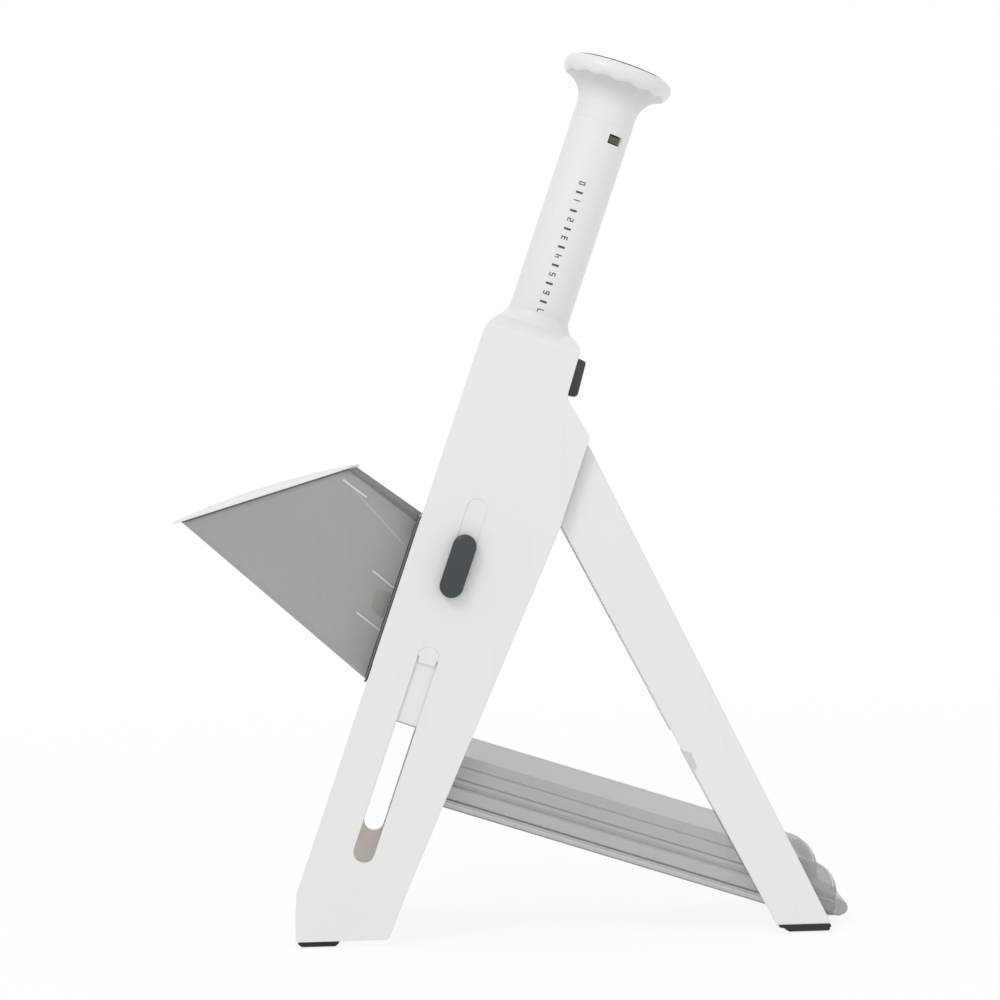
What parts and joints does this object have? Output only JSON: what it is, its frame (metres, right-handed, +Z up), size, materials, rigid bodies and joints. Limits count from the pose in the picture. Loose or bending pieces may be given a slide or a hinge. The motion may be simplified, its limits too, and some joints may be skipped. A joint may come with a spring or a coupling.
{
  "type": "vegetable dicer",
  "caption": "Upright hand vegetable dicer: press handle over a leaning body with a slanted food chute, a pull-out catch tray and a folding rear stand.",
  "frame": {"origin": "on the table, under the middle of the object's bounding box", "axes": "+Z up; +X towards the folding stand and the tray's pull tab, -X towards the food chute; Y across the object, the left panel at -Y"},
  "size_m": [0.2982, 0.117, 0.3953],
  "materials": {
    "white_plastic": "satin white moulded plastic",
    "smoke_plastic": "smoky translucent moulded plastic",
    "dark_plastic": "soft matt charcoal plastic",
    "grey_plastic": "matt grey plastic",
    "rubber": "matt black rubber",
    "steel": "fine ground stainless steel"
  },
  "bodies": {
    "body": {"side_panel_left": "white_plastic", "side_panel_right": "white_plastic", "head_housing": "white_plastic", "handle_bush": "white_plastic", "front_frame": "white_plastic", "base_shoe": "white_plastic", "front_foot_left": "rubber", "front_foot_right": "rubber", "tray_shelf": "white_plastic", "guide_rod_left": "steel", "guide_rod_right": "steel", "return_spring_left": "steel", "return_spring_right": "steel", "stand_hinge_rod": "steel", "lock_pin": "steel", "lock_spring": "steel", "panel_screw_1": "steel", "panel_screw_2": "steel", "panel_screw_3": "steel", "panel_screw_4": "steel"},
    "handle": {"handle_tube": "white_plastic", "handle_cap": "white_plastic", "cap_pad": "dark_plastic", "cap_catch": "dark_plastic", "rest_bumper": "rubber", "carriage_head": "white_plastic", "carriage_side_left": "white_plastic", "carriage_side_right": "white_plastic", "guide_pin_left": "white_plastic", "guide_pin_right": "white_plastic", "landing_plate": "white_plastic", "shield_plate": "white_plastic", "main_blade": "steel", "dicing_blades": "steel", "spring_bar": "white_plastic"},
    "chute": {"chute_shell": "smoke_plastic", "chute_flange": "dark_plastic", "chute_hook_left": "dark_plastic", "chute_hook_right": "dark_plastic"},
    "pusher": {"pusher_lid": "white_plastic", "pusher_block": "smoke_plastic", "pusher_spikes": "steel"},
    "latch_left": {"latch_plate_left": "white_plastic", "latch_knob_left": "dark_plastic"},
    "latch_right": {"latch_plate_right": "white_plastic", "latch_knob_right": "dark_plastic"},
    "stand_lock": {"lock_button": "dark_plastic", "lock_lever": "grey_plastic"},
    "stand": {"stand_leg_left": "white_plastic", "stand_leg_right": "white_plastic", "rear_foot_left": "rubber", "rear_foot_right": "rubber", "stand_cross_plate": "white_plastic", "stand_hinge_tube": "white_plastic"},
    "tray": {"tray_body": "smoke_plastic"}
  },
  "joints": [
    {"name": "handle_press", "type": "slide", "parent": "body", "child": "handle", "axis": [-0.342, 0, -0.9397], "range_m": [0, 0.0894], "stiffness_N_per_m": 150, "springref_m": -0.08, "deforming": ["return_spring_left", "return_spring_right"]},
    {"name": "chute_pull", "type": "slide", "parent": "body", "child": "chute", "axis": [-0.9397, 0, 0.342], "range_m": [0, 0.04]},
    {"name": "pusher_lift", "type": "slide", "parent": "chute", "child": "pusher", "axis": [-0.7405, 0, 0.672], "range_m": [0, 0.07]},
    {"name": "latch_left_slide", "type": "slide", "parent": "body", "child": "latch_left", "axis": [0.342, 0, 0.9397], "range_m": [0, 0.017]},
    {"name": "latch_right_slide", "type": "slide", "parent": "body", "child": "latch_right", "axis": [0.342, 0, 0.9397], "range_m": [0, 0.017]},
    {"name": "lock_rock", "type": "hinge", "parent": "body", "child": "stand_lock", "pos_m": [0.02433, 0, 0.23752], "axis": [0, 1, 0], "range_deg": [-6, 0], "stiffness_Nm_per_rad": 0.3, "springref_deg": 8.59, "deforming": ["lock_spring"]},
    {"name": "stand_fold", "type": "hinge", "parent": "body", "child": "stand", "pos_m": [0.02014, 0, 0.21638], "axis": [0, 1, 0], "range_deg": [0, 42]},
    {"name": "tray_pull", "type": "slide", "parent": "body", "child": "tray", "axis": [1, 0, 0], "range_m": [0, 0.19]}
  ]
}
